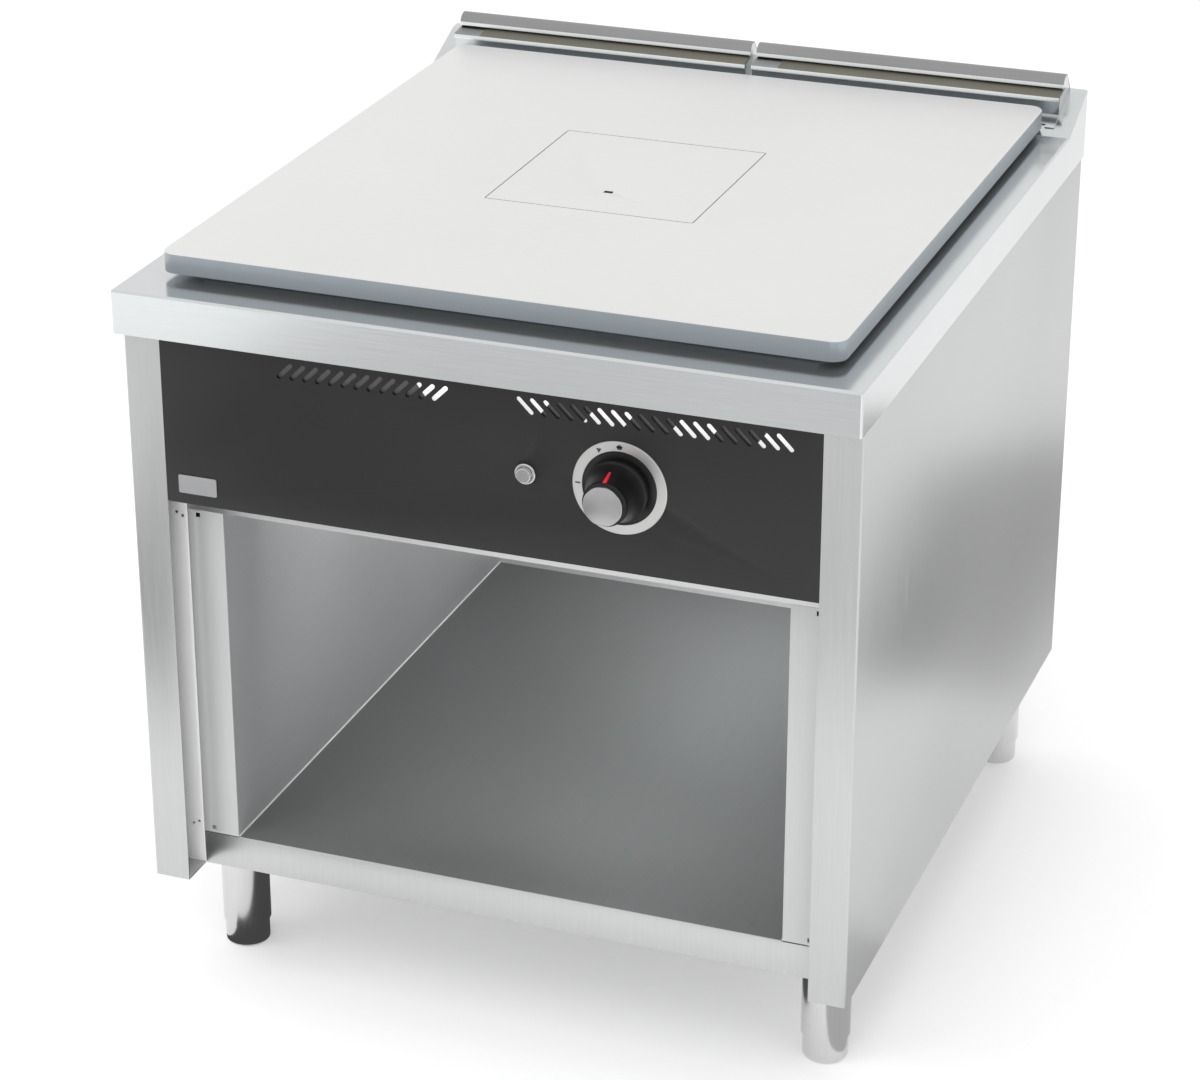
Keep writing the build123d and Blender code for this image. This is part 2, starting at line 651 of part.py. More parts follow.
def upper_outline(inset):
    """Side view of the upper hood: an upright lip, a domed top and a slope down to the rear."""
    y, low, high = UPPER_LIP
    rear_y, rear_z = UPPER_REAR
    keep = 1 - inset / DOME_RADIUS
    dome = [
        (DOME_CENTRE[0] + keep * (dome_y - DOME_CENTRE[0]), DOME_CENTRE[1] + keep * (dome_z - DOME_CENTRE[1]))
        for dome_y, dome_z in UPPER_DOME
    ]
    return make_face(Polyline(
        (y + inset, TOP_Z - 10),
        (y + inset, high - 0.6 * inset),
        *dome,
        (rear_y - inset, rear_z - 0.7 * inset),
        (rear_y - inset, TOP_Z - 10),
        close=True,
    ))


def skin_of(outline, x0, x1, lip):
    """The sheet that follows an outline, cut off below its lip and at the ramp."""
    y, low, high = lip
    outer = extrude(Plane.YZ * outline(0), amount=x1 - x0)
    inner = extrude(Plane.YZ * outline(HOOD_WALL), amount=x1 - x0)
    below_lip = block(x0 - 1, x1 + 1, y - 1, y + 2 * HOOD_WALL, TOP_Z - 20, low)
    return Pos(x0, 0, 0) * (outer - inner) - below_lip - ramp_solid()


def flue_hoods(x0, x1):
    """The two hoods of one cover, the upper one set back above the lower one."""
    lower = skin_of(lower_outline, x0, x1, LOWER_LIP)
    lower -= block(x0 - 1, x1 + 1, LOWER_REAR[0] - HOOD_WALL, LOWER_REAR[0] + 1, TOP_Z, LOWER_REAR[1] + 1)
    for end in (x0, x1):
        reach = HOOD_WALL + HOOD_FIT
        lower -= block(end - reach, end + reach, UPPER_LIP[0] + 1, LOWER_REAR[0], TOP_Z, LOWER_REAR[1] + 1)
    return [lower, skin_of(upper_outline, x0, x1, UPPER_LIP)]


def ramp_solid():
    """Everything below the worktop's ramp, with a small gap, to trim the covers to it."""
    gap = 0.3
    outline = make_face(Polyline(
        (RAMP_Y - 20, TOP_Z + gap),
        (RAMP_Y, TOP_Z + gap),
        (RAMP_END[0], RAMP_END[1] + gap),
        (DEPTH, REAR_Z + gap),
        (DEPTH, TOP_Z - 40),
        (RAMP_Y - 20, TOP_Z - 40),
        close=True,
    ))
    return side_extrusion(outline, WIDTH / 2)


def ramp_height(y):
    """Height of the worktop's ramp at a place along Y."""
    slope = (RAMP_END[1] - TOP_Z) / (RAMP_END[0] - RAMP_Y)
    if y <= RAMP_END[0]:
        return TOP_Z + slope * (y - RAMP_Y)
    rest = (REAR_Z - RAMP_END[1]) / (DEPTH - RAMP_END[0])
    return RAMP_END[1] + rest * (y - RAMP_END[0])


def flue_base(x0, x1):
    """Foot, front wall and end cheeks of one cover; the hoods lie on the cheeks."""
    skin = HOOD_WALL
    wall_rear = FLUE_WALL_Y + skin
    section = make_face(Polyline(
        (FLUE_FOOT_Y, ramp_height(FLUE_FOOT_Y) + HOOD_FIT),
        (wall_rear, ramp_height(wall_rear) + HOOD_FIT),
        (wall_rear, FLUE_WALL_Z),
        (FLUE_WALL_Y, FLUE_WALL_Z),
        (FLUE_WALL_Y, ramp_height(FLUE_WALL_Y) + HOOD_FIT + skin),
        (FLUE_FOOT_Y, ramp_height(FLUE_FOOT_Y) + HOOD_FIT + skin),
        close=True,
    ))
    base = Pos(x0, 0, 0) * extrude(Plane.YZ * section, amount=x1 - x0)
    inset = HOOD_WALL + HOOD_FIT
    for x in (x0, x1 - skin):
        cheek = extrude(Plane.YZ * lower_outline(inset), amount=skin)
        cheek += extrude(Plane.YZ * upper_outline(inset), amount=skin)
        cheek = Pos(x, 0, 0) * cheek - block(x - 1, x + 2, LOWER_LIP[0], FLUE_WALL_Y, TOP_Z - 20, LOWER_LIP[2] + 2)
        base += cheek - ramp_solid()
    clearance = 1.5
    reach = PLATE_X + clearance
    return base - block(-reach, reach, FLUE_FOOT_Y - 1, PLATE_Y1 + clearance, TOP_Z, PLATE_Z)


def leg(x, y):
    """Round leg tube welded to a square plate."""
    tube = rod_z(x, y, LEG_Z0, BODY_Z - 3, LEG_R) - rod_z(x, y, LEG_Z0 - 1, BODY_Z - 3, LEG_R - LEG_WALL)
    plate = Pos(x, y, BODY_Z - 1.5) * Box(82, 82, 3)
    plate -= [rod_z(x + dx, y + dy, BODY_Z - 5, BODY_Z + 1, 3.2) for dx, dy in BOLT_OFFSETS]
    return tube + plate


def leg_foot(x, y):
    """Screw foot that slides inside the leg tube."""
    foot = rod_z(x, y, 0, 72, FOOT_R)
    foot = fillet(foot.edges().sort_by(Axis.Z)[0], 5.0)
    return foot - rod_z(x, y, 20, 80, FOOT_R - 4)


def hex_bolt(x, y, z):
    """Bolt pushed up from below through a leg plate."""
    head = Pos(x, y, z - 4) * extrude(RegularPolygon(5.8, 6), amount=4)
    return head + rod_z(x, y, z, z + 8, 3.0)


def leg_bolts():
    """Bolts that hold the four leg plates."""
    return [
        hex_bolt(side * LEG_X + dx, y + dy, BODY_Z - 3)
        for side in (-1, 1)
        for y in (LEG_FRONT_Y, LEG_REAR_Y)
        for dx, dy in BOLT_OFFSETS
    ]


def all_parts():
    """Every node's name and its solid or list of solids."""
    parts = {
        "worktop": worktop(),
        "plate_seat": plate_seat(),
        "hot_plate": hot_plate(),
        "target_plug": target_plug(),
        "bottom_rail": bottom_rail(),
        "header_rail": header_rail(),
        "cabinet_liner": cabinet_liner(),
        "cabinet_ceiling": cabinet_ceiling(),
        "base_channel_front": base_channel(LEG_FRONT_Y),
        "base_channel_rear": base_channel(LEG_REAR_Y),
        "back_panel": back_panel(),
        "back_panel_screws": back_panel_screws(),
        "control_panel": control_panel(),
        "vent_baffle": vent_baffle(),
        "air_deflector": air_deflector(),
        "fire_chamber": fire_chamber(),
        "refractory_lining": refractory_lining(),
        "burner_body": burner_body(),
        "burner_cap": burner_cap(),
        "mixing_tube": mixing_tube(),
        "injector": injector(),
        "gas_valve": gas_valve(),
        "manifold_pipe": manifold_pipe(),
        "gas_inlet": gas_inlet(),
        "pilot_burner": pilot_burner(),
        "pilot_tube": pilot_tube(),
        "thermocouple": thermocouple(),
        "spark_electrode": spark_electrode(),
        "ignition_lead": ignition_lead(),
        "igniter_body": igniter_body(),
        "igniter_bezel": igniter_bezel(),
        "igniter_button": igniter_button(),
        "dial_ring": dial_ring(),
        "spring_washer": spring_washer(),
        "valve_stem": valve_stem(),
        "knob_skirt": knob_skirt(),
        "knob_cap": knob_cap(),
        "knob_pointer": knob_pointer(),
        "flue_duct": flue_duct(),
        "flue_base_left": flue_base(-FLUE_X1, -FLUE_X0),
        "flue_base_right": flue_base(FLUE_X0, FLUE_X1),
        "flue_hoods_left": flue_hoods(-FLUE_X1, -FLUE_X0),
        "flue_hoods_right": flue_hoods(FLUE_X0, FLUE_X1),
        "leg_bolts": leg_bolts(),
    }
    for name, left in (
        ("side_panel", side_panel_left()),
        ("hinge_strip", hinge_strip_left()),
        ("front_post", front_post_left()),
        ("inner_wall", inner_wall_left()),
    ):
        parts[name + "_left"], parts[name + "_right"] = both(left)
    for row, y in (("front", LEG_FRONT_Y), ("rear", LEG_REAR_Y)):
        for side, x in (("left", -LEG_X), ("right", LEG_X)):
            parts[f"leg_{row}_{side}"] = leg(x, y)
            parts[f"foot_{row}_{side}"] = leg_foot(x, y)
    return parts


def write_parts():
    """One STEP file for each node, with the origin at the middle of the footprint."""
    os.makedirs("parts", exist_ok=True)
    centre = Location((0, -Y_MIDDLE, 0))
    parts = all_parts()
    for name, shape in parts.items():
        if isinstance(shape, list):
            moved = Compound(children=[solid.moved(centre) for piece in shape for solid in piece.solids()])
        else:
            moved = shape.moved(centre)
        export_step(moved, f"parts/{name}.step")
    print(len(parts), "nodes")


write_parts()
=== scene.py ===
import json
import math

import bmesh
import bpy
from mathutils import Matrix, Vector


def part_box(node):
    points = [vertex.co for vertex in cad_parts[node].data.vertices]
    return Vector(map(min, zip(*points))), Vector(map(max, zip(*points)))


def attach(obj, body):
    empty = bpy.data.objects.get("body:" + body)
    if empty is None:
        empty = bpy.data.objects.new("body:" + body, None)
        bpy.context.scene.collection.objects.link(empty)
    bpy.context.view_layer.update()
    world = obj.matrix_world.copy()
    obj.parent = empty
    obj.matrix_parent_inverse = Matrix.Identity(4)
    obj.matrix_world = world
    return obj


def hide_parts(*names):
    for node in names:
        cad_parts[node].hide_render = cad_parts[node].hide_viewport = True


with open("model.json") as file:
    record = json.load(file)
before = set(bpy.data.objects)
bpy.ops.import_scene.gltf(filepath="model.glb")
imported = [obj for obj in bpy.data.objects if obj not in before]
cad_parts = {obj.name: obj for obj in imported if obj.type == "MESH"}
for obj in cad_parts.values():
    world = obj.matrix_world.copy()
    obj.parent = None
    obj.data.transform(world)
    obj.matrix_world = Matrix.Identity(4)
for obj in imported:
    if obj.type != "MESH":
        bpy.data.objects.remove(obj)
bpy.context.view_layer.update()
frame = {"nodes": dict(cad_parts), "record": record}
scene = bpy.context.scene
mm = 0.001
rowShift = -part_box("worktop")[0][1] / mm  # outlines count y from the worktop's front face
print("stage: frame loaded", len(frame["nodes"]), "nodes")


def place(x, y, z):
    return Vector((x * mm, (y - rowShift) * mm, z * mm))


def frontBox(nodeName):
    # a node's corners in mm, with y counted from the worktop's front face
    low, high = (Vector(corner) / mm + Vector((0, rowShift, 0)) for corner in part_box(nodeName))
    return low, high


def newPiece(name, mesh, body, slotName, material, *nodes):
    # turns a bmesh into a finished piece at the origin, riding on its body
    data = bpy.data.meshes.new(name)
    mesh.to_mesh(data)
    mesh.free()
    piece = bpy.data.objects.new(name, data)
    scene.collection.objects.link(piece)
    data.materials.append(material)
    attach(piece, body)
    if nodes:
        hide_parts(*nodes)
    return piece


def smoothBySharp(mesh, degrees):
    # soft shading everywhere but on edges that turn by more than this
    for face in mesh.faces:
        face.smooth = True
    for edge in mesh.edges:
        if len(edge.link_faces) == 2 and edge.calc_face_angle() > math.radians(degrees):
            edge.smooth = False


def roundOff(mesh, geom, width, segments, affect="EDGES", clamp=False):
    bmesh.ops.bevel(
        mesh, geom=geom, offset=width * mm, offset_type="OFFSET", segments=segments, profile=0.5,
        affect=affect, clamp_overlap=clamp, material=-1)


def turn(mesh, verts, degrees, axis):
    bmesh.ops.rotate(mesh, verts=verts, matrix=Matrix.Rotation(math.radians(degrees), 3, axis))


def justVerts(items):
    return [item for item in items if isinstance(item, bmesh.types.BMVert)]


def profileSpin(points, centre, steps):
    # a closed turned shape about the y axis through centre, from (radius, y) points in mm
    mesh = bmesh.new()
    verts = [mesh.verts.new(place(centre[0] + radius, y, centre[1])) for radius, y in points]
    for first, second in zip(verts, verts[1:]):
        mesh.edges.new((first, second))
    bmesh.ops.spin(
        mesh, geom=mesh.verts[:] + mesh.edges[:], cent=place(centre[0], 0, centre[1]), axis=(0, 1, 0),
        angle=math.tau, steps=steps, use_merge=True)
    bmesh.ops.remove_doubles(mesh, verts=mesh.verts[:], dist=1e-6)
    bmesh.ops.recalc_face_normals(mesh, faces=mesh.faces[:])
    return mesh


def linear(hexText):
    # sRGB hex to the linear values the shaders want
    channels = [int(hexText[i:i + 2], 16) / 255 for i in (1, 3, 5)]
    return tuple(c / 12.92 if c <= 0.04045 else ((c + 0.055) / 1.055) ** 2.4 for c in channels) + (1.0,)


def patternScale(size):
    # noise scale whose features are this many mm across
    return 1000 / size


def addNode(tree, kind, settings=None, values=None, links=None):
    # one node with its settings, its socket values and what feeds it
    node = tree.nodes.new(kind)
    for key, value in (settings or {}).items():
        setattr(node, key, value)
    for key, value in (values or {}).items():
        node.inputs[key].default_value = value
    for key, socket in (links or {}).items():
        tree.links.new(socket, node.inputs[key])
    return node


def newMaterial(name, shaderValues):
    material = bpy.data.materials.new(name)
    material.use_nodes = True
    tree = material.node_tree
    shader = tree.nodes["Principled BSDF"]
    for key, value in shaderValues.items():
        shader.inputs[key].default_value = value
    return material, tree, shader


def grainedMetal(name, look):
    # rolled and ground metal: long fine scratches one way, faint clouding from rolling and wiping
    material, tree, shader = newMaterial(name, {
        "Metallic": look.get("metallic", 1.0), "Emission Color": linear(look["light"]),
        "Emission Strength": look.get("glow", 0.0)})
    coords = addNode(tree, "ShaderNodeTexCoord")
    stretch = addNode(
        tree, "ShaderNodeMapping", values={"Scale": [patternScale(size) for size in look["grain"]]},
        links={"Vector": coords.outputs["Object"]})
    grain = addNode(
        tree, "ShaderNodeTexNoise", values={"Scale": 1.0, "Detail": 3.0, "Roughness": 0.6},
        links={"Vector": stretch.outputs[0]})
    cloud = addNode(
        tree, "ShaderNodeTexNoise",
        values={"Scale": patternScale(look["cloudSize"]), "Detail": 2.0, "Roughness": 0.5},
        links={"Vector": coords.outputs["Object"]})
    tone = addNode(
        tree, "ShaderNodeMix", {"data_type": "RGBA"}, {6: linear(look["dark"]), 7: linear(look["light"])},
        {0: grain.outputs["Fac"]})
    cloudTone = addNode(
        tree, "ShaderNodeMapRange",
        values={"From Min": 0.3, "From Max": 0.7, "To Min": 1.0 - look["cloud"], "To Max": 1.0},
        links={"Value": cloud.outputs["Fac"]})
    tinted = addNode(
        tree, "ShaderNodeMix", {"data_type": "RGBA", "blend_type": "MULTIPLY"}, {0: 1.0},
        {6: tone.outputs[2], 7: cloudTone.outputs[0]})
    # painted shade and reflection: faces below a given height get a darker tone
    if "edgeTone" in look:
        height = addNode(tree, "ShaderNodeSeparateXYZ", links={"Vector": coords.outputs["Object"]})
        inSideShade = addNode(
            tree, "ShaderNodeMath", {"operation": "LESS_THAN"}, {1: look["edgeBelow"]},
            {0: height.outputs["Z"]})
        tinted = addNode(
            tree, "ShaderNodeMix", {"data_type": "RGBA"}, {7: linear(look["edgeTone"])},
            {0: inSideShade.outputs[0], 6: tinted.outputs[2]})
    tree.links.new(tinted.outputs[2], shader.inputs["Base Color"])
    rough = addNode(
        tree, "ShaderNodeMapRange", values={
            "From Min": 0.25, "From Max": 0.75, "To Min": look["rough"][0], "To Max": look["rough"][1]},
        links={"Value": grain.outputs["Fac"]})
    tree.links.new(rough.outputs[0], shader.inputs["Roughness"])
    bump = addNode(
        tree, "ShaderNodeBump", values={"Strength": look["bump"], "Distance": 0.2 * mm},
        links={"Height": grain.outputs["Fac"]})
    tree.links.new(bump.outputs["Normal"], shader.inputs["Normal"])
    return material


def grittySurface(name, look):
    # cast, moulded or coated surface: fine grit in the bump, mottled tone
    material, tree, shader = newMaterial(
        name, {"Metallic": look.get("metallic", 0.0), **look.get("shader", {})})
    coords = addNode(tree, "ShaderNodeTexCoord")
    grit = addNode(
        tree, "ShaderNodeTexNoise",
        values={"Scale": patternScale(look["gritSize"]), "Detail": 4.0, "Roughness": 0.6},
        links={"Vector": coords.outputs["Object"]})
    mottle = addNode(
        tree, "ShaderNodeTexNoise",
        values={"Scale": patternScale(look["mottleSize"]), "Detail": 3.0, "Roughness": 0.55},
        links={"Vector": coords.outputs["Object"]})
    tone = addNode(
        tree, "ShaderNodeMix", {"data_type": "RGBA"}, {6: linear(look["dark"]), 7: linear(look["light"])},
        {0: mottle.outputs["Fac"]})
    tree.links.new(tone.outputs[2], shader.inputs["Base Color"])
    rough = addNode(
        tree, "ShaderNodeMapRange", values={"To Min": look["rough"][0], "To Max": look["rough"][1]},
        links={"Value": mottle.outputs["Fac"]})
    tree.links.new(rough.outputs[0], shader.inputs["Roughness"])
    bump = addNode(
        tree, "ShaderNodeBump", values={"Strength": look["bump"], "Distance": look["gritDepth"] * mm},
        links={"Height": grit.outputs["Fac"]})
    tree.links.new(bump.outputs["Normal"], shader.inputs["Normal"])
    return material


# grain is the size in mm of a scratch along x, y and z; real ones are near 0.1 mm wide, too fine to show,
# so they are drawn about 1 mm wide. cloudSize is the size in mm of the broad tone patches.
metals = {
    # stainless sheet ground fine and bright: mirrors its neighbours with a slight blur
    "brightGroundStainless": {
        "light": "#dadcdd", "dark": "#cdd0d1", "metallic": 0.9, "rough": (0.12, 0.20),
        "grain": (71.4, 1.11, 1.11), "cloudSize": 333, "cloud": 0.04, "bump": 0.015},
    # stainless sheet with an upright brushed grain: soft broad reflections
    "brushedStainless": {
        "light": "#cfd0d0", "dark": "#c0c1c1", "rough": (0.32, 0.42), "grain": (1.11, 1.11, 83.3),
        "cloudSize": 400, "cloud": 0.05, "bump": 0.03},
    # the same sheet set back behind the side panels, as a darker, less metallic copy: painted shade for the
    # recess
    "recessedStainless": {
        "light": "#bcbdbd", "dark": "#b0b1b1", "metallic": 0.25, "rough": (0.36, 0.46),
        "grain": (1.11, 1.11, 83.3), "cloudSize": 400, "cloud": 0.05, "bump": 0.03},
    # pale stainless painted lighter than the sheet: painted light on the hinge strips in their shaded pocket,
    # and the painted highlight of the liner's bend lines
    "mattStainless": {
        "light": "#f0f0f0", "dark": "#e6e6e6", "metallic": 0.1, "rough": (0.4, 0.5),
        "grain": (1.11, 1.11, 83.3), "cloudSize": 400, "cloud": 0.04, "bump": 0.03},
    # cabinet floor: a darker, duller copy of the wall steel, painted shade at the cabinet's bottom
    "scuffedStainless": {
        "light": "#8e9090", "dark": "#828484", "metallic": 0.6, "rough": (0.34, 0.46),
        "grain": (1.11, 83.3, 1.11), "cloudSize": 400, "cloud": 0.06, "bump": 0.05},
    # cabinet walls: brushed front to back, lightly milky
    "linerStainless": {
        "light": "#c2c3c4", "dark": "#b0b1b2", "metallic": 0.45, "rough": (0.34, 0.46),
        "grain": (1.11, 83.3, 1.11), "cloudSize": 400, "cloud": 0.06, "bump": 0.06},
    # folded lips of the flue covers, painted brighter than the sheet as a highlight
    "burnishedStainless": {
        "light": "#eef1f1", "dark": "#e2e6e6", "rough": (0.2, 0.3), "grain": (71.4, 1.11, 1.11),
        "cloudSize": 125, "cloud": 0.03, "bump": 0.03},
    # rounded tops of the flue covers and the low covers' left ends, a mid grey: painted reflection on the
    # same stainless
    "dulledStainless": {
        "light": "#a6a6a7", "dark": "#959596", "rough": (0.34, 0.44), "grain": (71.4, 1.11, 1.11),
        "cloudSize": 125, "cloud": 0.06, "bump": 0.03},
    # stainless painted brown and dull: painted shade and reflection inside the low covers' slots
    "heatTintedStainless": {
        "light": "#7d7a6d", "dark": "#68665b", "metallic": 0.6, "rough": (0.42, 0.55),
        "grain": (71.4, 1.11, 1.11), "cloudSize": 111, "cloud": 0.12, "bump": 0.03},
    # drawn and polished stainless tube: crisp upright streaks
    "polishedStainlessTube": {
        "light": "#dedede", "dark": "#cbcbcb", "rough": (0.14, 0.22), "grain": (0.83, 0.83, 50),
        "cloudSize": 167, "cloud": 0.04, "bump": 0.03},
    # sheet behind the vents painted near white; its pale tone and small glow stand for light let in by the
    # slots
    "annealedStainless": {
        "light": "#f8f8f8", "dark": "#eeeeee", "metallic": 0.2, "glow": 0.8, "rough": (0.35, 0.45),
        "grain": (71.4, 1.11, 1.11), "cloudSize": 125, "cloud": 0.03, "bump": 0.05},
    # anodised aluminium ring: pale satin, no visible grain direction
    "anodisedAluminium": {
        "light": "#e0e0de", "dark": "#d2d2d0", "rough": (0.28, 0.36), "grain": (0.67, 0.67, 0.67),
        "cloudSize": 50, "cloud": 0.05, "bump": 0.03},
    # chrome-plated brass: small and shiny
    "chromedBrass": {
        "light": "#dcdcdc", "dark": "#c2c2c2", "rough": (0.12, 0.2), "grain": (0.67, 0.67, 0.67),
        "cloudSize": 33.3, "cloud": 0.05, "bump": 0.02},
    # aluminium disc with a spun face: clouded satin
    "spunAluminium": {
        "light": "#c4c4c4", "dark": "#a6a6a6", "rough": (0.22, 0.34), "grain": (0.5, 1.11, 0.5),
        "cloudSize": 25, "cloud": 0.12, "bump": 0.05},
    # steel plate ground on top: pale satin; its sides below the top get a painted blue-grey shade and
    # reflection
    "groundSteelPlate": {
        "light": "#f4f4f3", "dark": "#eaeae9", "edgeTone": "#a8b0b5", "edgeBelow": 0.8566,
        "rough": (0.34, 0.44), "grain": (16.7, 1.43, 1.43), "cloudSize": 500, "cloud": 0.05, "bump": 0.05},
    # brass turned from bar, a little dulled
    "turnedBrass": {
        "light": "#cfae62", "dark": "#b8954c", "rough": (0.25, 0.38), "grain": (1.11, 1.11, 1.11),
        "cloudSize": 40, "cloud": 0.12, "bump": 0.04},
    # drawn aluminium: soft grey-white
    "drawnAluminium": {
        "light": "#d5d6d8", "dark": "#bfc0c2", "rough": (0.3, 0.4), "grain": (1.11, 1.11, 1.11),
        "cloudSize": 40, "cloud": 0.08, "bump": 0.03},
    # hot-dip galvanised sheet: blue-grey spangle of coarse patches
    "galvanisedSheet": {
        "light": "#b9bdbf", "dark": "#8f9497", "rough": (0.35, 0.5), "grain": (16.7, 16.7, 16.7),
        "cloudSize": 83.3, "cloud": 0.15, "bump": 0.04},
    # zinc-plated fixings: bright bluish grey
    "zincPlatedSteel": {
        "light": "#c3c6c8", "dark": "#a7abad", "rough": (0.3, 0.42), "grain": (2, 2, 2),
        "cloudSize": 33.3, "cloud": 0.1, "bump": 0.04},
    # seamless steel pipe: plain mid grey
    "drawnSteelPipe": {
        "light": "#8d9092", "dark": "#77797b", "rough": (0.35, 0.5), "grain": (3.33, 3.33, 3.33),
        "cloudSize": 50, "cloud": 0.15, "bump": 0.05},
    # hot-rolled mild steel: dark and dull
    "hotRolledSteel": {
        "light": "#75757a", "dark": "#5c5c60", "rough": (0.45, 0.6), "grain": (5, 5, 5),
        "cloudSize": 111, "cloud": 0.2, "bump": 0.08},
}

# gritSize and mottleSize are in mm, gritDepth is the bump's depth in mm; grit finer than about 0.6 mm
# wouldn't show, so the moulded plastics are drawn that coarse
coatings = {
    # grey cast iron straight from the sand mould: dark, matt, sandy
    "sandCastIron": {
        "light": "#4a4a4a", "dark": "#2f2f30", "metallic": 0.6, "rough": (0.6, 0.8), "gritSize": 1.11,
        "mottleSize": 71.4, "bump": 0.4, "gritDepth": 0.3},
    # pressed vermiculite fire brick: matt and crumbly, pale buff
    "vermiculiteBrick": {
        "light": "#d9cfbb", "dark": "#b3a68e", "rough": (0.9, 1.0), "gritSize": 2.86,
        "mottleSize": 33.3, "bump": 0.6, "gritDepth": 0.8},
    # black semi-matt powder coat: faint orange peel, soft highlight
    "blackPowderCoat": {
        "light": "#1d1d1d", "dark": "#1a1a1a", "rough": (0.36, 0.42), "gritSize": 1.43,
        "mottleSize": 167, "bump": 0.05, "gritDepth": 0.2,
        "shader": {"IOR": 1.5, "Specular IOR Level": 0.35}},
    # baffle sheet behind the vents, a grey painted lighter than black as light caught in the panel's shade
    "heatBlackenedSheet": {
        "light": "#626260", "dark": "#525250", "rough": (0.5, 0.6), "gritSize": 2,
        "mottleSize": 83.3, "bump": 0.1, "gritDepth": 0.2},
    # glazed alumina: smooth cream white
    "glazedAlumina": {
        "light": "#ece8df", "dark": "#ddd8cc", "rough": (0.2, 0.3), "gritSize": 3.33,
        "mottleSize": 25, "bump": 0.05, "gritDepth": 0.1, "shader": {"IOR": 1.52}},
    # silicone rubber sleeve: soft black
    "siliconeRubber": {
        "light": "#1f1f1f", "dark": "#161616", "rough": (0.55, 0.7), "gritSize": 1.11,
        "mottleSize": 33.3, "bump": 0.1, "gritDepth": 0.1, "shader": {"IOR": 1.52}},
    # moulded heat-proof phenolic plastic: deep black, fine texture
    "mouldedPhenolic": {
        "light": "#0e0e10", "dark": "#0a0a0b", "rough": (0.32, 0.42), "gritSize": 0.625,
        "mottleSize": 33.3, "bump": 0.08, "gritDepth": 0.1,
        "shader": {"IOR": 1.55, "Specular IOR Level": 0.3}},
    # moulded plastic insert, bright red
    "mouldedRedPlastic": {
        "light": "#d8232a", "dark": "#c41c22", "rough": (0.3, 0.4), "gritSize": 0.625,
        "mottleSize": 16.7, "bump": 0.05, "gritDepth": 0.1, "shader": {"IOR": 1.5}},
    # painted shade down the walls of the plug's gap
    "millScale": {
        "light": "#4a4a48", "dark": "#3a3a38", "metallic": 0.2, "rough": (0.7, 0.85), "gritSize": 1.67,
        "mottleSize": 25, "bump": 0.1, "gritDepth": 0.1},
    # screen-printed epoxy ink: flat dark grey
    "printedInk": {
        "light": "#3a3a3a", "dark": "#2c2c2c", "rough": (0.5, 0.6), "gritSize": 0.625,
        "mottleSize": 16.7, "bump": 0.05, "gritDepth": 0.1, "shader": {"IOR": 1.5}},
}

finishes = {name: grainedMetal(name, look) for name, look in metals.items()}
finishes.update({name: grittySurface(name, look) for name, look in coatings.items()})

slotFinish = {
    "worktop_steel": "brightGroundStainless", "body_steel": "brushedStainless",
    "inner_steel": "linerStainless", "leg_steel": "polishedStainlessTube",
    "deflector_steel": "annealedStainless",
    "dial_metal": "anodisedAluminium", "igniter_metal": "chromedBrass", "knob_metal": "spunAluminium",
    "plate_steel": "groundSteelPlate", "brass": "turnedBrass", "aluminium": "drawnAluminium",
    "galvanised": "galvanisedSheet", "zinc": "zincPlatedSteel", "pipe_steel": "drawnSteelPipe",
    "mild_steel": "hotRolledSteel", "cast_iron": "sandCastIron", "refractory": "vermiculiteBrick",
    "panel_black": "blackPowderCoat", "baffle_black": "heatBlackenedSheet", "ceramic": "glazedAlumina",
    "rubber_black": "siliconeRubber", "knob_black": "mouldedPhenolic", "pointer_red": "mouldedRedPlastic",
}
slotOf = {part["node"]: part["material_slot"] for part in frame["record"]["subparts"]}
finishOf = {nodeName: slotFinish[slotName] for nodeName, slotName in slotOf.items()}
# painted copies of the body sheet: shade on the posts, light on the hinge strips
for side in ("left", "right"):
    finishOf["front_post_" + side] = "recessedStainless"
    finishOf["hinge_strip_" + side] = "mattStainless"
for nodeName, cadObject in frame["nodes"].items():
    for materialSlot in cadObject.material_slots:
        materialSlot.material = finishes[finishOf[nodeName]]
print("stage: finishes on the frame's own nodes", len(finishes))


# folded sheets, with the edges a press brake leaves
softened = {
    "body": "cabinet",
    "edges": {  # node: edge width in mm
        "side_panel_left": 0.6, "side_panel_right": 0.6, "hinge_strip_left": 0.3, "hinge_strip_right": 0.3,
        "front_post_left": 0.4, "front_post_right": 0.4, "bottom_rail": 0.5, "header_rail": 0.5,
        "control_panel": 0.4, "cabinet_liner": 0.3, "plate_seat": 0.6,
    },
    "minAngle": 50.0,
    "minLength": 2.2,  # in edge widths
    "segments": 2,
}


def softEdges(nodeName, width, body, pieceName):
    # a merged copy of a node with its sharp edges rounded
    mesh = bmesh.new()
    mesh.from_mesh(frame["nodes"][nodeName].data)
    bmesh.ops.remove_doubles(mesh, verts=mesh.verts[:], dist=2e-6)
    bmesh.ops.dissolve_limit(mesh, angle_limit=math.radians(1.0), verts=mesh.verts[:], edges=mesh.edges[:])
    sharp = [
        edge for edge in mesh.edges
        if len(edge.link_faces) == 2 and edge.calc_face_angle() > math.radians(softened["minAngle"])
        and edge.calc_length() > softened["minLength"] * width * mm
    ]
    roundOff(mesh, sharp, width, softened["segments"], clamp=True)
    smoothBySharp(mesh, 35)
    return newPiece(pieceName, mesh, body, slotOf[nodeName], finishes[finishOf[nodeName]], nodeName)


def camel(nodeName):
    first, *others = nodeName.split("_")
    return first + "".join(word.capitalize() for word in others)


folded = {}
for nodeName, width in softened["edges"].items():
    folded[nodeName] = softEdges(nodeName, width, softened["body"], camel(nodeName) + "Folded")

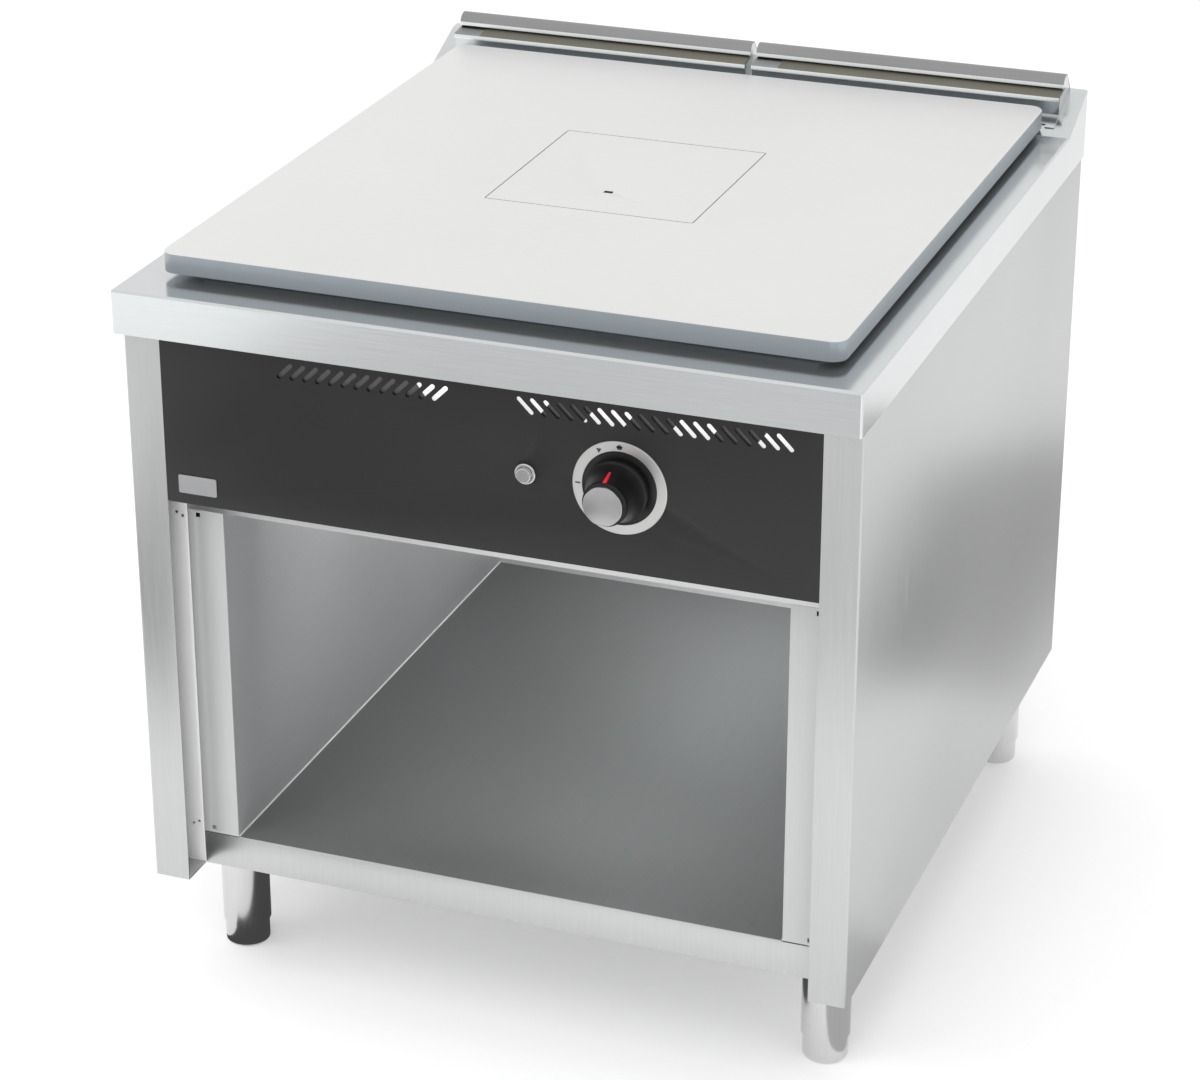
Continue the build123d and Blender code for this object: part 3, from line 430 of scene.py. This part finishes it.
# the cabinet floor gets painted shade: a darker copy of the walls' steel
liner = {"finish": "scuffedStainless", "floorBelow": 5.0}  # mm above the liner's underside
linerLow, linerHigh = frontBox("cabinet_liner")
linerData = folded["cabinet_liner"].data
linerData.materials.append(finishes[liner["finish"]])
for polygon in linerData.polygons:
    if polygon.normal.z > 0.9 and polygon.center.z < (linerLow.z + liner["floorBelow"]) * mm:
        polygon.material_index = 1

# painted highlight: a pale rod along each bend between the cabinet's floor and walls
bend = {"radius": 0.9, "inward": 0.4, "above": 1.6, "short": (2.0, 1.7), "segments": 12}
bendLow = linerLow.y + bend["short"][0]
bendHigh = linerHigh.y - bend["short"][1]
bendMesh = bmesh.new()
for x in (linerLow.x + bend["inward"], linerHigh.x - bend["inward"]):
    rod = bmesh.ops.create_cone(
        bendMesh, cap_ends=True, segments=bend["segments"], radius1=bend["radius"] * mm,
        radius2=bend["radius"] * mm, depth=(bendHigh - bendLow) * mm)["verts"]
    turn(bendMesh, rod, 90, "X")
    bmesh.ops.translate(
        bendMesh, verts=rod, vec=place(x, (bendLow + bendHigh) / 2, linerLow.z + bend["above"]))
smoothBySharp(bendMesh, 40)
newPiece("linerBendLines", bendMesh, "cabinet", "inner_steel", finishes["mattStainless"])

# the ground plate and its plug, with painted shade on the walls of the gap between them
casting = {"edge": 0.35, "reach": (1.5, 2.0), "scaleAbove": 4.0, "topNormal": 0.97}
plugLow, plugHigh = frontBox("target_plug")
plugMiddle = (plugLow + plugHigh) / 2 - Vector((0, rowShift, 0))
gapHalfX = (plugHigh.x - plugLow.x) / 2 + casting["reach"][0]
gapHalfY = (plugHigh.y - plugLow.y) / 2 + casting["reach"][1]


def groundCasting(nodeName, body, pieceName):
    piece = softEdges(nodeName, casting["edge"], body, pieceName)
    piece.data.materials.append(finishes["millScale"])
    for polygon in piece.data.polygons:
        away = polygon.center / mm - plugMiddle
        inGap = abs(away.x) < gapHalfX and abs(away.y) < gapHalfY
        isDeep = polygon.center.z > (plugLow.z + casting["scaleAbove"]) * mm
        if inGap and isDeep and polygon.normal.z < casting["topNormal"]:
            polygon.material_index = 1


groundCasting("hot_plate", "cabinet", "hotPlateGround")
groundCasting("target_plug", "target_plug", "targetPlugGround")
print("stage: folded sheets", len(softened["edges"]))


# knob: turned skirt, eight-sided cap with rounded corners, tapered pointer
capLow, capHigh = frontBox("knob_cap")
knobCentre = ((capLow.x + capHigh.x) / 2, (capLow.z + capHigh.z) / 2)

skirt = {
    "profile": [  # radius and y in mm, from the front face's middle round to the open back
        (0, -26.5), (22.6, -26.5), (23.2, -26.2), (23.5, -25.5), (24.0, -20), (24.9, -14), (26.3, -8),
        (28.3, -2.5), (30.8, 2.2), (31.9, 4.2), (32.5, 4.7), (32.6, 5.6), (32.6, 13.5), (32.2, 13.9),
        (30.2, 13.9), (25.5, -2), (19.5, -14), (0, -14)],
    "steps": 96,
}
skirtMesh = profileSpin(skirt["profile"], knobCentre, skirt["steps"])
smoothBySharp(skirtMesh, 40)
newPiece("knobSkirtTurned", skirtMesh, "knob", "knob_black", finishes["mouldedPhenolic"], "knob_skirt")

cap = {"radius": 22.2, "sides": 8, "corner": 6.0, "edge": 0.9}
capMesh = bmesh.new()
bmesh.ops.create_circle(capMesh, cap_ends=True, radius=cap["radius"] * mm, segments=cap["sides"])
turn(capMesh, capMesh.verts[:], 180 / cap["sides"], "Z")
roundOff(capMesh, capMesh.verts[:], cap["corner"], 6, affect="VERTICES")
capTop = justVerts(bmesh.ops.extrude_face_region(capMesh, geom=capMesh.faces[:])["geom"])
bmesh.ops.translate(capMesh, verts=capTop, vec=(0, 0, (capHigh.y - capLow.y) * mm))
capTopSet = set(capTop)
roundOff(capMesh, [edge for edge in capMesh.edges if all(v in capTopSet for v in edge.verts)], cap["edge"], 3)
turn(capMesh, capMesh.verts[:], 90, "X")
bmesh.ops.translate(capMesh, verts=capMesh.verts[:], vec=place(knobCentre[0], capHigh.y, knobCentre[1]))
bmesh.ops.recalc_face_normals(capMesh, faces=capMesh.faces[:])
smoothBySharp(capMesh, 30)
newPiece("knobCapBrushed", capMesh, "knob", "knob_metal", finishes["spunAluminium"], "knob_cap")

# near and far are y and height above the knob's centre
pointer = {
    "nearWidth": 4.2, "farWidth": 2.2, "high": 2.2, "near": (-25.4, 22.9), "far": (-9.0, 27.3), "edge": 0.4}
pointerMesh = bmesh.new()
run = Vector(pointer["far"]) - Vector(pointer["near"])
bmesh.ops.create_cube(pointerMesh, size=1.0)
bmesh.ops.scale(pointerMesh, verts=pointerMesh.verts[:], vec=(mm, run.length * mm, pointer["high"] * mm))
for vert in pointerMesh.verts:
    vert.co.x *= pointer["farWidth"] if vert.co.y > 0 else pointer["nearWidth"]
roundOff(pointerMesh, pointerMesh.edges[:], pointer["edge"], 3)
turn(pointerMesh, pointerMesh.verts[:], math.degrees(math.atan2(run.y, run.x)), "X")
middle = (Vector(pointer["near"]) + Vector(pointer["far"])) / 2
bmesh.ops.translate(
    pointerMesh, verts=pointerMesh.verts[:], vec=place(knobCentre[0], middle.x, knobCentre[1] + middle.y))
smoothBySharp(pointerMesh, 40)
newPiece(
    "knobPointerTapered", pointerMesh, "knob", "pointer_red", finishes["mouldedRedPlastic"], "knob_pointer")
print("stage: knob")


# plain printed shapes on the dial ring
marks = {
    "proud": 0.1,
    "radius": 44.0,
    "thick": 0.12,
    "shapes": [  # degrees round the ring, corners, width and height in mm, turn in degrees
        (90, 5, (6.6, 6.0), 0),
        (90, 4, (9.0, 2.2), 45),
        (119.5, 3, (6.4, 6.4), 30),
        (180, 4, (2.2, 7.6), 45),
    ],
}
ringFront = frontBox("dial_ring")[0].y


def addMark(mesh, degrees, corners, size, tilt):
    # one flat shape as a thin raised film
    made = bmesh.ops.create_circle(mesh, cap_ends=True, radius=0.5 * mm, segments=corners)["verts"]
    turn(mesh, made, tilt, "Z")
    bmesh.ops.scale(mesh, verts=made, vec=(size[0], size[1], 1))
    faces = list({face for vert in made for face in vert.link_faces})
    upper = justVerts(bmesh.ops.extrude_face_region(mesh, geom=faces)["geom"])
    bmesh.ops.translate(mesh, verts=upper, vec=(0, 0, marks["thick"] * mm))
    turn(mesh, made + upper, 90, "X")
    turn(mesh, made + upper, 90 - degrees, "Y")
    angle = math.radians(degrees)
    spot = place(
        knobCentre[0] + marks["radius"] * math.cos(angle), ringFront - marks["proud"],
        knobCentre[1] + marks["radius"] * math.sin(angle))
    bmesh.ops.translate(mesh, verts=made + upper, vec=spot)


markMesh = bmesh.new()
for shape in marks["shapes"]:
    addMark(markMesh, *shape)
bmesh.ops.recalc_face_normals(markMesh, faces=markMesh.faces[:])
newPiece("dialMarks", markMesh, "cabinet", "panel_black", finishes["printedInk"])

# blank plate in the panel's lower left corner
badge = {"wide": 43.7, "high": 20.5, "thick": 0.6, "fromLeft": 13.9, "fromBottom": 12.0, "corner": 2.0}
panelLow = frontBox("control_panel")[0]
badgeMesh = bmesh.new()
bmesh.ops.create_cube(badgeMesh, size=1.0)
bmesh.ops.scale(
    badgeMesh, verts=badgeMesh.verts[:], vec=(badge["wide"] * mm, badge["thick"] * mm, badge["high"] * mm))
cornerEdges = [
    edge for edge in badgeMesh.edges
    if abs((edge.verts[0].co - edge.verts[1].co).y) > 0.9 * badge["thick"] * mm]
roundOff(badgeMesh, cornerEdges, badge["corner"], 6)
badgeMiddle = place(
    panelLow.x + badge["fromLeft"] + badge["wide"] / 2, panelLow.y - badge["thick"] / 2,
    panelLow.z + badge["fromBottom"] + badge["high"] / 2)
bmesh.ops.translate(badgeMesh, verts=badgeMesh.verts[:], vec=badgeMiddle)
newPiece("blankBadge", badgeMesh, "cabinet", "panel_black", finishes["drawnAluminium"])
print("stage: dial marks and badge")


# flue covers: a low and a high curved sheet on each side, from front lip to rear edge
flue = {
    "wall": 1.2,
    "plainEnd": 33.0,  # painted lighter zone at each cover's left end, where the painted slot shade stops
    "lower": [(860, 860), (860, 864.0), (860.3, 865.0), (861.2, 865.9), (866, 866.7), (889, 869.8)],
    "upper": [
        (880, 871), (880, 875.4), (880.7, 877.6), (882.5, 880.2), (885.5, 882.6), (889, 884.2), (893, 884.8),
        (896.5, 884.0), (899.5, 881.7), (905, 875.4), (914, 864.5), (914, 862.0)],
    "lipTop": {"lower": 865.0, "upper": 876.0},
    "lipBefore": 885.0,  # y
    "upperAbove": 870.5,  # z
    "finishes": ("burnishedStainless", "dulledStainless", "heatTintedStainless"),
}


def coverFace(face, paintedLitTo):
    # 0 for the lips' painted highlight, 1 for the domes' painted reflection and the painted lighter end, 2
    # for the painted slot shade on the rest
    middle = face.calc_center_median()
    isUpper = middle.z > flue["upperAbove"] * mm
    lipTop = flue["lipTop"]["upper" if isUpper else "lower"] * mm
    if middle.z < lipTop and middle.y < place(0, flue["lipBefore"], 0).y:
        return 0
    return 1 if isUpper or middle.x < paintedLitTo else 2


for side in ("left", "right"):
    nodeName = "flue_hoods_" + side
    coverLow, coverHigh = frontBox(nodeName)
    coverMesh = bmesh.new()
    for level in ("lower", "upper"):
        verts = [coverMesh.verts.new(place(coverLow.x, y, z)) for y, z in flue[level]]
        line = [coverMesh.edges.new(pair) for pair in zip(verts, verts[1:])]
        far = justVerts(bmesh.ops.extrude_edge_only(coverMesh, edges=line)["geom"])
        bmesh.ops.translate(coverMesh, verts=far, vec=((coverHigh.x - coverLow.x) * mm, 0, 0))
    paintedLitTo = (coverLow.x + flue["plainEnd"]) * mm
    bmesh.ops.bisect_plane(
        coverMesh, geom=coverMesh.verts[:] + coverMesh.edges[:] + coverMesh.faces[:],
        plane_co=(paintedLitTo, 0, 0), plane_no=(1, 0, 0))
    for face in coverMesh.faces:
        face.material_index = coverFace(face, paintedLitTo)
        if face.normal.z - 0.2 * face.normal.y < 0:
            face.normal_flip()
    bmesh.ops.solidify(coverMesh, geom=coverMesh.faces[:], thickness=flue["wall"] * mm)
    smoothBySharp(coverMesh, 40)
    first, *others = [finishes[name] for name in flue["finishes"]]
    cover = newPiece("flueCover" + side.capitalize(), coverMesh, "cabinet", slotOf[nodeName], first, nodeName)
    for finish in others:
        cover.data.materials.append(finish)
print("stage: flue covers")


def stagePiece(name, mesh, material):
    data = bpy.data.meshes.new(name)
    mesh.to_mesh(data)
    mesh.free()
    data.materials.append(material)
    piece = bpy.data.objects.new(name, data)
    scene.collection.objects.link(piece)
    return piece


# white sweep that glows a little, as a lit one does
floor = {"radius": 14.0, "colour": "#d8d8d8", "glow": 0.3}
floorMesh = bmesh.new()
bmesh.ops.create_circle(floorMesh, cap_ends=True, radius=floor["radius"], segments=64)
floorPaint = newMaterial("floorPaint", {
    "Roughness": 0.9, "Base Color": linear(floor["colour"]), "Specular IOR Level": 0.0,
    "Emission Color": linear("#ffffff"), "Emission Strength": floor["glow"]})[0]
stagePiece("floor", floorMesh, floorPaint)

studio = {"colour": "#ffffff", "strength": 0.95}
world = bpy.data.worlds.new("studio")
scene.world = world
world.use_nodes = True
background = world.node_tree.nodes["Background"]
background.inputs["Color"].default_value = linear(studio["colour"])
background.inputs["Strength"].default_value = studio["strength"]

# cards that only reflections see, as a studio hangs flags to draw metal; tone is what the metal shows
flags = {
    # the card under the appliance is painted shadow: the floor's shade there, as the legs reflect it
    "flagUnder": {"x": (-0.37, 0.22), "y": (-0.40, 0.45), "z": 0.004, "tone": "#505050"},
    "flagSide": {"x": (0.50, 0.92), "y": (0.55, 1.45), "z": 0.006, "tone": "#3c3c3c"},
    "flagLegRight": {"x": (0.38, 0.60), "y": (-0.60, -0.10), "z": 0.005, "tone": "#c4c4c4"},
    "flagFrontLeft": {"x": (-1.40, -0.45), "y": (-2.00, -0.95), "z": 0.004, "tone": "#a0a0a0"},
    "flagFrontRight": {"x": (-1.15, 0.60), "y": (-3.40, -1.50), "z": 0.003, "tone": "#dadada"},
}
for name, flag in flags.items():
    flagMesh = bmesh.new()
    bmesh.ops.create_grid(flagMesh, x_segments=1, y_segments=1, size=0.5)
    flagSize = (flag["x"][1] - flag["x"][0], flag["y"][1] - flag["y"][0], 1)
    bmesh.ops.scale(flagMesh, verts=flagMesh.verts[:], vec=flagSize)
    flagMiddle = (sum(flag["x"]) / 2, sum(flag["y"]) / 2, flag["z"])
    bmesh.ops.translate(flagMesh, verts=flagMesh.verts[:], vec=flagMiddle)
    flagCloth = newMaterial(name, {
        "Roughness": 1.0, "Base Color": linear("#000000"), "Specular IOR Level": 0.0,
        "Emission Color": linear(flag["tone"]), "Emission Strength": 1.0})[0]
    card = stagePiece(name, flagMesh, flagCloth)
    card.visible_camera = False
    card.visible_diffuse = False
    card.visible_shadow = False

lights = {
    "keyLeft": {"at": (-2.6, -2.6, 3.2), "size": 2.2, "power": 50},
    "fillRight": {"at": (3.2, -1.6, 2.2), "size": 2.0, "power": 10},
    "frontLow": {"at": (0.3, -3.2, 0.9), "size": 1.6, "power": 32},
    "topSoft": {"at": (0.0, 0.2, 4.0), "size": 3.0, "power": 40},
    "insideGlow": {"at": (0.05, -0.34, 0.50), "size": 0.12, "power": 2.6, "aim": (0.1, 0.5, 0.45)},
    "backGlow": {"at": (0.08, 0.12, 0.50), "size": 0.12, "power": 1.3, "aim": (0.08, 0.42, 0.22)},
}
for name, light in lights.items():
    lamp = bpy.data.lights.new(name, "AREA")
    lamp.shape = "SQUARE"
    lamp.size = light["size"]
    lamp.energy = light["power"]
    holder = bpy.data.objects.new(name, lamp)
    holder.visible_glossy = False  # metal mirrors the sweep and the flags, not the lamps
    holder.visible_camera = False
    holder.location = light["at"]
    towards = Vector(light.get("aim", (0, 0, 0.5))) - holder.location
    holder.rotation_euler = towards.to_track_quat("-Z", "Y").to_euler()
    scene.collection.objects.link(holder)

cameraLook = {
    "at": (1.22875, -3.36845, 2.06005), "turn": (65.45, 0.0, 20.512), "lens": 103.65, "sensor": 36.0,
    "clipEnd": 60.0}
cameraData = bpy.data.cameras.new("camera")
cameraData.lens = cameraLook["lens"]
cameraData.sensor_width = cameraLook["sensor"]
cameraData.clip_end = cameraLook["clipEnd"]
camera = bpy.data.objects.new("camera", cameraData)
camera.location = cameraLook["at"]
camera.rotation_euler = [math.radians(angle) for angle in cameraLook["turn"]]
scene.collection.objects.link(camera)
scene.camera = camera
scene.view_settings.view_transform = "Standard"
print("stage: studio and camera")
